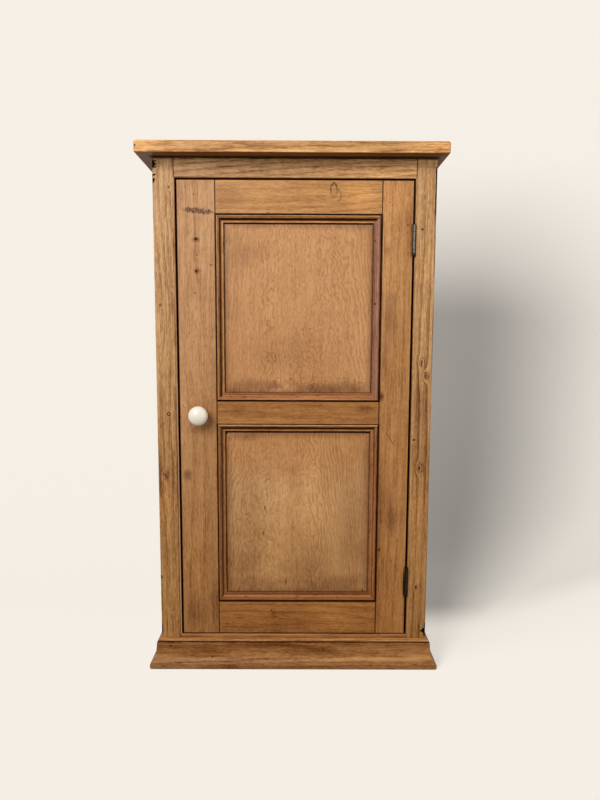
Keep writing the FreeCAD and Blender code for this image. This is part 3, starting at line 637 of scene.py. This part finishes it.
def paint_door():
    """The door's stiles, rails and panels."""
    stile = dict(rings=0.0075, figure=0.26, warp=0.008, streaks=0.55, gap=GAP_SHADE_DOOR,
                 marked=DOOR_FRONT)
    dress("door_stile_latch", "zy", STILE, 8, heart=(-0.1, -0.12), taper=0.012,
          spots=[(-192.8, 968, 1.1, 3.2, 0.75), (-189.1, 882.3, 3.8, 2.2, 0.85),
                 (-187.6, 851.3, 1.3, 1.5, 0.75), (-189.4, 820.3, 2.8, 2.4, 0.8),
                 (-192.6, 777.3, 1.6, 1.8, 0.7), (-160.2, 832, 3.2, 1.1, 0.6),
                 (-217.2, 551.6, 2.2, 2.2, 0.75), (-196, 680.3, 1.2, 1.6, 0.45),
                 (-174, 672.3, 1, 1.8, 0.45)],
          stains=[(-213, 408.3, 11, 16, 0.6), (-188, 820.3, 8, 8, 0.7), (-189, 881.3, 9, 6, 0.6),
                  (-160, 132.3, 12, 60, 0.45), (-200, 112.3, 26, 34, 0.35),
                  (-197, 502.3, 18, 9, 0.35), (-168, 522.3, 10, 26, 0.35)],
          pales=[(-196, 232, 30, 90, 0.45)], areas=[(UPPER, 0.002), (LOWER, 0.002)],
          rims=[("x", -226.2), ("z", 69.9)], ends=[("x", -151.4)], extra=latch_marks, **stile)
    dress("door_stile_hinge", "zy", STILE_RIGHT, 9, heart=(0.33, -0.12), taper=0.008,
          # The first spot is painted shade beside the lower hinge's barrel.
          spots=[(235.8, 175.6, 2.5, 28, 0.85), (191.2, 960.3, 1.2, 1.2, 0.75),
                 (191.4, 953.8, 1.2, 1.6, 0.75), (196, 948.3, 0.8, 1.2, 0.5),
                 (182.4, 251, 2.4, 4, 0.75), (207.9, 227.3, 1.6, 1.2, 0.6),
                 (224, 142.3, 1, 1, 0.4)],
          stains=[(180.7, 571, 7, 11, 0.8), (186, 642.3, 10, 40, 0.4), (227.5, 910.8, 3.4, 3, 0.8),
                  (206, 332.3, 10, 60, 0.35), (196, 742.3, 14, 60, 0.35), (188, 862.3, 8, 14, 0.4),
                  (203, 345, 34, 66, 0.24), (202, 712, 30, 60, 0.14), (178, 330, 10, 150, 0.4)],
          pales=[(208, 975, 40, 60, 0.45), (200, 905, 30, 60, 0.15)],
          areas=[(UPPER, 0.0028), (LOWER, 0.0026)], rims=[("x", 237.8), ("z", 69.9)],
          ends=[("x", 177)], extra=scratch, **stile)
    rail = dict(rings=0.0048, figure=0.3, warp=0.005, streaks=0.5, marked=DOOR_FRONT,
                ends=[("x", -151.4), ("x", 177)])
    dress("door_rail_top", "xy", RAIL_TOP, 10, heart=(1.05, -0.13), taper=0.015, low=0,
          stains=[(-125, 964, 46, 30, 0.3)], pales=[(138, 964, 44, 40, 0.6)],
          spots=[(-47.4, 933.3, 4.5, 1, 0.6)], gap=GAP_SHADE_DOOR, extra=ring_knot,
          areas=[(UPPER, 0.0022)], **rail)
    dress("door_rail_lock", "xy", RAIL, 11, heart=(0.49, -0.13), taper=0.012,
          stains=[(-110, 542.3, 30, 14, 0.35), (150, 547.3, 26, 12, 0.5), (-60, 530.3, 14, 10, 0.3),
                  (40, 554.3, 40, 6, 0.25)], areas=[(UPPER, 0.0018), (LOWER, 0.002)], **rail)
    dress("door_rail_bottom", "xy", RAIL, 12, heart=(0.06, -0.13), taper=0.014,
          spots=[(-42, 119.3, 1.6, 3, 0.6), (-33, 105.3, 1.8, 2.8, 0.65), (-37, 114.3, 3.2, 1, 0.5),
                 (-108, 102.3, 11, 0.9, 0.6), (-110, 109.3, 12, 0.8, 0.4),
                 (60, 90.3, 14, 0.7, 0.35)], stains=[(-38, 112.3, 9, 12, 0.4)],
          pales=[(80, 105, 80, 50, 0.5)], low=0.85, areas=[(LOWER, 0.0035)], rims=[("z", 69.9)],
          gap=GAP_SHADE_DOOR, **rail)
    panel = dict(rings=0.003, taper=0.045, figure=0.42, warp=0.008, streaks=0.34, grime=0.4,
                 curl=0.026, marked=PANEL_FRONT)
    dress("door_panel_upper", "zy", PANEL, 13, heart=(0.02, -0.12), low=0.7,
          spots=[(36, 707.3, 3.2, 1.5, 0.4), (-1.7, 606.3, 4, 1.2, 0.55),
                 (24, 608.3, 3.4, 1.2, 0.5), (70, 602.3, 2.6, 1, 0.5), (-126.6, 708.3, 1, 1.4, 0.6),
                 (100, 608.3, 14, 0.8, 0.5), (140, 599.3, 6, 1, 0.5)],
          stains=[(60, 590.3, 130, 14, 0.52), (-10, 652.3, 80, 50, 0.16),
                  (-80, 592.3, 70, 16, 0.45), (-70, 862.3, 40, 22, 0.18), (-112, 860, 22, 70, 0.3),
                  (-112, 740, 20, 70, 0.2)], creases=[(UPPER, 0.016, 0.45)], **panel)
    dress("door_panel_lower", "zy", PANEL, 14, heart=(-0.03, -0.12),
          spots=[(-55.1, 337.5, 1.3, 6.5, 0.75), (-58.3, 283.9, 1.2, 5, 0.7),
                 (-69.2, 453.5, 1.6, 1.2, 0.55), (-111.3, 313.8, 2.4, 1.2, 0.5),
                 (-11.2, 178.3, 1, 8.5, 0.75), (150, 160.3, 2, 3, 0.6),
                 (-134, 496.3, 3.5, 3.5, 0.9), (156, 496.8, 4.5, 2.2, 0.9)],
          stains=[(-60, 174.3, 110, 18, 0.35), (110, 180.3, 70, 20, 0.4),
                  (-90, 222.3, 40, 40, 0.25), (120, 272.3, 30, 90, 0.2), (30, 212.3, 60, 30, 0.2),
                  (-100, 486.3, 60, 10, 0.25)],
          pales=[(30, 345, 90, 110, 0.55), (-20, 220, 110, 60, 0.25)],
          creases=[(LOWER, 0.018, 0.5)], extra=dusty, **panel)


def paint_mouldings():
    """The mouldings round the two panels."""
    specks = {"upper_right": [(164, 880.3, 1.4, 1.9, 0.95), (166, 757.3, 1.7, 2, 1)]}
    for word, area in (("upper", UPPER), ("lower", LOWER)):
        low = area[2] * 1000 + 8
        specks[word + "_bottom"] = [(-96, low, 3, 1, 0.6), (12, low + 1, 4, 0.9, 0.6),
                                    (96, low - 1, 3, 0.9, 0.7), (52, low + 3, 6, 0.8, 0.5)]
        tones = {"bottom": MOULDING_BOTTOM, "right": MOULDING_RIGHT[word]}
        for i, part in enumerate(("top", "bottom", "left", "right")):
            side = f"{word}_{part}"
            dress("moulding_" + side, "xy" if i < 2 else "zy", tones.get(part, MOULDING), 45 + i,
                  heart=(0.3, -0.1), rings=0.006, taper=0.01, figure=0.3, warp=0.004,
                  spots=specks.get(side, ()), extra=moulding_light_and_shade(area, side))


def paint_plinth():
    """The moulded plinth."""
    foot = dict(rings=0.0042, taper=0.012, figure=0.42, warp=0.004, low=0.35, grime=0.22,
                extra=plinth_light_and_shade)
    dress("plinth_front", "xy", PLINTH, 40, heart=(-0.02, -0.17),
          spots=[(-252, 45.8, 2.6, 1.5, 0.9), (-165.6, 23.9, 2.2, 1.3, 1), (259, 11.8, 6, 0.9, 0.5),
                 (200, 52.3, 22, 1, 0.45), (-235, 14.3, 10, 0.7, 0.45), (-251, 52.8, 9, 1.2, 0.6)],
          **foot)
    dress("plinth_left", "yx", PLINTH, 41, heart=(-0.02, 0.2), **foot)
    dress("plinth_right", "yx", PLINTH, 42, heart=(-0.02, -0.2), **foot)


def paint_inside():
    """The back with its painted nails, the shelves and what holds them, and the button."""
    joints = [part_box(f"back_board_{i}")[0].x * 1000 for i in range(1, 6)]
    joints.append(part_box("back_board_5")[1].x * 1000 + 0.4)
    for i, shade in enumerate((1.0, 0.86, 1.06, 0.92, 1.02), 1):
        tones = [tuple(c * shade for c in tone[:3]) + (1.0,) for tone in SAWN]
        start, end = joints[i - 1], joints[i]
        nails = [(start + (end - start) * share, z + lift, 2.4, 1.5, 0.9)
                 for share, lift in ((0.24, -2), (0.78, 3)) for z in (58, 316, 556, 786, 1022)]
        dress(f"back_board_{i}", "zy", tones, 50 + i, heart=(-0.31 + 0.1 * i, -0.16),
              figure=0.6, warp=0.012, roughness=0.78, grime=0.5, low=0.3, spots=nails,
              ends=[("x", start), ("x", end - 0.4)], marked=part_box("back_board_1")[1].y,
              knots=[(-210 + 104 * (i - 1), 200 + 170 * (i * 3 % 5), 7 + i)])
    for i, name in enumerate(("shelf_1", "shelf_2", "shelf_3", "base_board")):
        dress(name, "xz", INSIDE, 60 + i, heart=(0.02, 0.05 - 0.2 * i), figure=0.6,
              warp=0.012, roughness=0.7, low=0.1, knots=[(40 - 30 * i, -120 + 90 * i, 8)])
    small = [n for n in NODES if n.startswith(("batten", "door_stop", "glue_blocks"))]
    for i, name in enumerate(sorted(small)):
        cut = "xy" if name.startswith("door_stop") else "yx"
        dress(name, cut, INSIDE, 70 + i, heart=(0.3, 0.3), roughness=0.7, low=0.1)
    dress("turn_button", "zy", BUTTON, 90, heart=(-0.1, 0), rings=0.004, low=0)


# ---- metal and ceramic


def steel(name, tone, rust, roughness, pin=None):
    """Dull iron or steel, with rust in patches. On a hinge, the barrel's sides are painted
    black as shade, which leaves a highlight along the middle of its pin, with black lines
    between its knuckles and black at its foot."""
    g = new_material(name)
    patch = g.noise(g.coordinate(), 130.0, detail=4.0, roughness=0.6)
    fine = g.noise(g.coordinate(), 1400.0)
    colour = g.mix(g.mul(g.step(patch, 0.5, 0.7), rust), tone, rgb(70, 42, 28))
    colour = g.mix(g.mul(fine, 0.25), colour, rgb(20, 18, 18), "MULTIPLY")
    if pin:
        x, _, z = g.position()
        middle, foot, head = (pin[0].x + pin[1].x) / 2, pin[0].z, pin[1].z
        # Painted shade: black on both sides of the barrel, leaving its middle as the highlight.
        black = g.step(g.away(x, middle - 0.0002), 0.0011, 0.0019)
        for share in (0.22, 0.5, 0.78):
            line = g.step(g.away(z, foot + (head - foot) * share), 0.001, 0.0004)
            black = g.most(black, g.mul(line, 0.8))
        black = g.most(black, g.step(z, foot + 0.009, foot + 0.005))
        colour = g.mix(g.mul(black, 0.9), colour, rgb(14, 10, 9))
    normal = g.bumpy(g.add(patch, g.mul(fine, 0.3)), 0.3, 0.0003, 0.0003)
    return g.principled(Base_Color=colour, Metallic=0.85, Normal=normal,
                        Roughness=g.add(roughness - 0.1, g.mul(patch, 0.25)))


def glaze():
    """Warm white glaze with the faintest crazing, a few grey-brown specks, and darker towards the
    bottom.
    """
    g = new_material("knob_glaze")
    cloud = g.noise(g.coordinate(), 55.0, detail=3.0)
    specks = g.step(g.noise(g.coordinate(), 900.0, detail=1.0), 0.7, 0.76)
    colour = g.mix(g.mul(cloud, 0.5), rgb(246, 238, 224), rgb(234, 222, 204))
    # Darker towards the bottom.
    below = g.step(g.position()[2], 0.54, 0.514, 0.0, 0.3)
    colour = g.mix(below, colour, rgb(196, 176, 150), "MULTIPLY")
    colour = g.mix(g.mul(specks, 0.3), colour, rgb(166, 140, 116))
    cells = g.node("TexVoronoi", {"Vector": g.coordinate(), "Scale": 420.0},
                   feature="DISTANCE_TO_EDGE").outputs[0]
    colour = g.mix(g.mul(g.step(cells, 0.035, 0.0), 0.1), colour, rgb(150, 140, 126))
    return g.principled(Base_Color=colour, Roughness=0.26, Coat_Weight=0.35,
                        Coat_Roughness=0.12, Normal=g.bumpy(cloud, 0.15, 0.0006))


# ---- Blender pieces


def placed(name, data):
    """A new object in the scene."""
    obj = bpy.data.objects.new(name, data)
    scene.collection.objects.link(obj)
    return obj


def meshed(name, mesh, material, smooth=True):
    """An object made from a bmesh."""
    data = bpy.data.meshes.new(name)
    mesh.to_mesh(data)
    mesh.free()
    data.materials.append(material)
    for polygon in data.polygons:
        polygon.use_smooth = smooth
    return placed(name, data)


def piece(name, mesh, body, material, smooth=True):
    """A mesh made into a piece that rides on a body."""
    obj = meshed(name, mesh, material, smooth)
    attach(obj, body)
    return obj


def turned(mesh, outline, centre, axis, segments):
    """Adds a turned form. The outline is (radius, distance along the axis), in mm."""
    centre, along = Vector(centre), Vector(axis)
    side = along.orthogonal().normalized()
    other = along.cross(side)
    rows = []
    for radius, reach in outline:
        arms = []
        for i in range(segments if radius else 1):
            turn = math.tau * i / segments
            arms.append((side * math.cos(turn) + other * math.sin(turn)) * radius)
        rows.append([mesh.verts.new(centre + (arm + along * reach) / 1000) for arm in arms])
    for lower, upper in zip(rows, rows[1:]):
        for i in range(segments):
            corners = [row[k % len(row)] for row, k in ((lower, i), (lower, i + 1),
                                                        (upper, i + 1), (upper, i))]
            kept = list(dict.fromkeys(corners))
            if len(kept) > 2:
                mesh.faces.new(kept)


def knob():
    """The ceramic knob: a small foot ring, a waisted neck and a flattened ball."""
    low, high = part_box("knob_ceramic")
    neck, belly, belly_at, top_at = 7.6, 19.5, 24.8, 37.8
    outline = [(0, 0.0), (9.0, 0.0), (9.8, 0.15), (10.2, 0.7), (10.2, 1.5), (9.6, 2.2),
               (8.5, 2.8), (7.8, 4.0), (neck, 5.8), (7.8, 7.4)]
    turns = [math.radians(90 * i / 24) for i in range(1, 25)]
    for turn in turns:
        outline.append((neck + (belly - neck) * math.sin(turn) ** 0.92,
                        belly_at - 16.0 * math.cos(turn)))
    for turn in turns:
        outline.append((belly * math.cos(turn),
                        belly_at + (top_at - belly_at) * math.sin(turn)))
    outline[-1] = (0, top_at)
    mesh = bmesh.new()
    turned(mesh, outline, ((low.x + high.x) / 2, high.y, (low.z + high.z) / 2), (0, -1, 0), 96)
    obj = piece("knob_glazed", mesh, "knob", glaze())
    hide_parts("knob_ceramic")


def slotted_heads(name, body, places, axis, screw, dark):
    """Slotted countersunk heads, let in flush. The slot is a dark face across the head."""
    radius, proud = 3.4, 0.1
    mesh = bmesh.new()
    along = Vector(axis)
    for index, place in enumerate(places):
        centre = Vector(mm(*place))
        turned(mesh, [(radius * 0.5, -1.2), (radius, -0.25), (radius * 0.99, proud * 0.5),
                      (radius * 0.93, proud), (radius * 0.5, proud), (0, proud)],
               centre, axis, 24)
        side = along.orthogonal().normalized()
        side.rotate(Matrix.Rotation(0.9 * index + 0.3, 3, along))
        other = along.cross(side)
        corners = [centre + (side * sx * radius * 0.93 + other * sy * radius * 0.13
                             + along * (proud + 0.015)) / 1000
                   for sx, sy in ((-1, -1), (1, -1), (1, 1), (-1, 1))]
        mesh.faces.new([mesh.verts.new(corner) for corner in corners]).material_index = 1
    obj = piece(name, mesh, body, screw, smooth=False)
    obj.data.materials.append(dark)


def hinge_screws(screw, dark):
    """Three screws in each hinge leaf."""
    for body, node, side in (("door", "hinge_leaf_door", -1), ("carcass", "hinge_leaf_frame", 1)):
        places = []
        for word in ("upper", "lower"):
            low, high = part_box(f"{node}_{word}")
            middle = (low.z + high.z) * 500
            places += [(239.75 + side * 0.25, y, middle + lift)
                       for y, lift in ((-152.5, -20), (-147.0, 0), (-152.5, 20))]
        slotted_heads(f"{node}_screws", body, places, (-side, 0, 0), screw, dark)


def batten_nails(iron):
    """Nail heads through the battens."""
    mesh = bmesh.new()
    for side, x, axis in (("left", -234.5, (1, 0, 0)), ("right", 244.5, (-1, 0, 0))):
        for row in ("shelf_1", "shelf_2", "shelf_3", "base"):
            low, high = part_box(f"batten_{row}_{side}")
            for y in (-80, 35, 150):
                turned(mesh, [(2.4, -0.5), (2.4, 0.05), (1.9, 0.25), (0, 0.3)],
                       mm(x, y, (low.z + high.z) * 500), axis, 16)
    piece("batten_nail_heads", mesh, "carcass", iron)


def paint_metal():
    """Metal parts and the small fasteners."""
    for word, *look in (("upper", rgb(112, 106, 102), 0.3, 0.4),
                        ("lower", rgb(40, 36, 35), 0.4, 0.5)):
        iron = steel(f"hinge_{word}_iron", *look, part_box("hinge_pin_" + word))
        wear(iron, f"hinge_leaf_frame_{word}", f"hinge_leaf_door_{word}", f"hinge_pin_{word}")
    wear(steel("knob_zinc", rgb(138, 136, 132), 0.2, 0.4),
         "knob_spindle", "knob_washer", "knob_nut")
    hinge_screws(steel("screw_steel", rgb(96, 92, 88), 0.35, 0.45),
                 steel("slot_dark", rgb(24, 22, 21), 0.5, 0.8))
    batten_nails(steel("nail_iron", rgb(58, 48, 42), 0.75, 0.7))


# ---- backdrop and light

PAPER = rgb(246, 239, 229)
SHADE_ALBEDO = 0.02
BOUNCE = 0.35

# Two soft lamps that light the backdrop alone, to cast the object's shadow on it: place,
# radius, share of the backdrop's brightness and the cosine at which that share holds.
SHADOW_LAMPS = (((-1.95, -3.93, 0.95), 0.93, 0.584, 0.8),
                ((-1.47, -1.18, 2.00), 0.84, 0.142, 0.8))
# The way that all of the backdrop's shading faces, so that its bend doesn't show.
TOWARDS = Vector((-0.905, -0.422, 0.052)).normalized()


def seen(g):
    """1 for what the camera sees, straight, in a mirror or through glass."""
    ray = g.node("LightPath")
    return g.most(ray.outputs["Is Camera Ray"], ray.outputs["Is Glossy Ray"],
                  ray.outputs["Is Transmission Ray"])


def paper():
    """The backdrop's material. What the camera sees is its own pale colour, less what the
    two shadow lamps add, so that only the object's shadow shows."""
    g = new_material("backdrop_paper")
    surface = g.node("NewGeometry")
    normal, place = surface.outputs["Normal"], surface.outputs["Position"]

    def dot(one, other):
        return g.node("VectorMath", {0: one, 1: other}, operation="DOT_PRODUCT").outputs["Value"]

    def slant(cosine):
        """The squared tangent of an angle, from its cosine."""
        return g.sub(g.div(1.0, g.most(g.mul(cosine, cosine), 1e-6)), 1.0)

    lamps, gain = 0.0, None
    # graze is how far Cycles dims a shading normal that leans away from its face.
    steep = g.least(g.mul(slant(dot(normal, tuple(TOWARDS))), 0.125), 1.0)
    for lamp, radius, share, held in SHADOW_LAMPS:
        away = g.node("VectorMath", {0: lamp, 1: place}, operation="SUBTRACT").outputs[0]
        size = g.div(radius ** 2, dot(away, away))
        size = g.add(g.sub(1.0, g.mul(size, 0.5)), g.mul(size, size, 1 / 3))
        away = g.node("VectorMath", {0: away}, operation="NORMALIZE").outputs[0]
        graze = g.mul(steep, slant(dot(away, normal)))
        graze = g.div(2.0, g.add(1.0, g.calc("SQRT", g.add(1.0, graze))))
        facing = g.most(dot(away, tuple(TOWARDS)), 0.0)
        lamps = g.add(lamps, g.mul(facing, graze, size, share / held))
        if gain is None:  # The shadow is faint at the object's foot and deep on the wall.
            at = g.node("SeparateXYZ", {0: place})
            aside = g.most(g.sub(at.outputs[0], 0.48), 0.0)
            back = g.sub(at.outputs[1], g.mul(aside, 0.55))
            gain = g.mul(g.calc("POWER", graze, -0.6), g.step(back, -0.02, 0.14, 0.42, 1.17))
    glow = g.node("Emission", {"Color": PAPER, "Strength": g.sub(1.0, g.mul(lamps, gain))})
    tone = g.node("VectorMath", {0: tuple(c * SHADE_ALBEDO for c in PAPER[:3]), "Scale": gain},
                  operation="SCALE").outputs[0]
    shade = g.node("BsdfDiffuse", {"Color": tone, "Normal": g.vector(*TOWARDS)})
    front = g.node("AddShader", {0: glow.outputs[0], 1: shade.outputs[0]})
    bounce = g.node("Emission", {"Color": PAPER, "Strength": BOUNCE})
    g.output(g.node("MixShader", {0: seen(g), 1: bounce.outputs[0], 2: front.outputs[0]}))
    g.owner.cycles.emission_sampling = "NONE"
    return g.owner


def backdrop():
    """A pale floor that sweeps up into a wall far behind the object."""
    radius, start, half, height = 1.45, 0.3, 9.0, 7.0
    profile = [(-half, 0.0), (start, 0.0)]
    for i in range(1, 33):
        turn = math.radians(90 * i / 32)
        profile.append((start + radius * math.sin(turn), radius * (1 - math.cos(turn))))
    profile.append((start + radius, height))
    mesh = bmesh.new()
    rows = [[mesh.verts.new((x, y, z)) for x in (-half, half)] for y, z in profile]
    for a, b in zip(rows, rows[1:]):
        mesh.faces.new((a[0], a[1], b[1], b[0]))
    obj = meshed("backdrop", mesh, paper())
    return obj


def area_lamp(name, place, target, size, power, colour):
    data = bpy.data.lights.new(name, "AREA")
    data.size, data.energy, data.color = size, power, colour
    obj = placed(name, data)
    obj.location = place
    obj.rotation_mode = "QUATERNION"
    obj.rotation_quaternion = (Vector(target) - Vector(place)).to_track_quat("-Z", "Y")
    obj.visible_camera = False
    return obj


def shadow_lamp(index, place, radius, share, held):
    """A soft round lamp whose light doesn't fall off with distance."""
    data = bpy.data.lights.new(f"shadow_{index}", "POINT")
    data.shadow_soft_size = radius
    data.energy = share * 4 * math.pi ** 2 / (SHADE_ALBEDO * held)
    g = Graph(data)
    falloff = g.node("LightFalloff", {"Strength": 1.0}).outputs["Constant"]
    g.output(g.node("Emission", {"Strength": falloff}), "Light")
    obj = placed(data.name, data)
    obj.location = place
    obj.visible_camera = obj.visible_glossy = False
    return obj


def light_and_stage():
    """Soft light from the upper left, and a backdrop that keeps the object's shadow."""
    sweep = backdrop()
    only = bpy.data.collections.new("backdrop_only")
    only.objects.link(sweep)
    for index, lamp in enumerate(SHADOW_LAMPS, 1):
        shadow_lamp(index, *lamp).light_linking.receiver_collection = only

    others = bpy.data.collections.new("all_but_backdrop")
    others.objects.link(sweep)
    others.collection_objects[0].light_linking.link_state = "EXCLUDE"
    key = area_lamp("key", (-1.25, -2.45, 2.1), (0, -0.16, 0.64), 1.5, 62, (1, 0.985, 0.965))
    fill = area_lamp("fill", (2.3, -2.2, 1.3), (0, 0, 0.55), 2.0, 16, (0.97, 0.98, 1))
    for lamp in (key, fill):
        lamp.light_linking.receiver_collection = others

    scene.world = bpy.data.worlds.new("studio")
    g = Graph(scene.world)
    soft = g.node("Background", {0: (1.0, 0.99, 0.975, 1.0), 1: 0.42})
    pale = g.node("Background", {0: PAPER, 1: 1.0})
    g.output(g.node("MixShader", {0: seen(g), 1: soft.outputs[0], 2: pale.outputs[0]}), "World")


def camera():
    """In front of the middle, at two thirds of the object's height, looking a bit down."""
    pitch, yaw, roll = 0.106514, 0.002739, 0.004005
    turn = (Matrix.Rotation(-yaw, 4, "Z") @ Matrix.Rotation(math.pi / 2 - pitch, 4, "X")
            @ Matrix.Rotation(roll, 4, "Z"))
    data = bpy.data.cameras.new("camera")
    data.sensor_fit, data.sensor_width, data.lens = "AUTO", 36.0, 27.0
    data.clip_start, data.clip_end = 0.05, 60.0
    scene.camera = placed("camera", data)
    scene.camera.matrix_world = Matrix.Translation(mm(13.44, -1366.75, 693.44)) @ turn


paint_carcass()
paint_door()
paint_mouldings()
paint_plinth()
paint_inside()
paint_metal()
knob()
light_and_stage()
camera()
scene.view_settings.view_transform = "Standard"
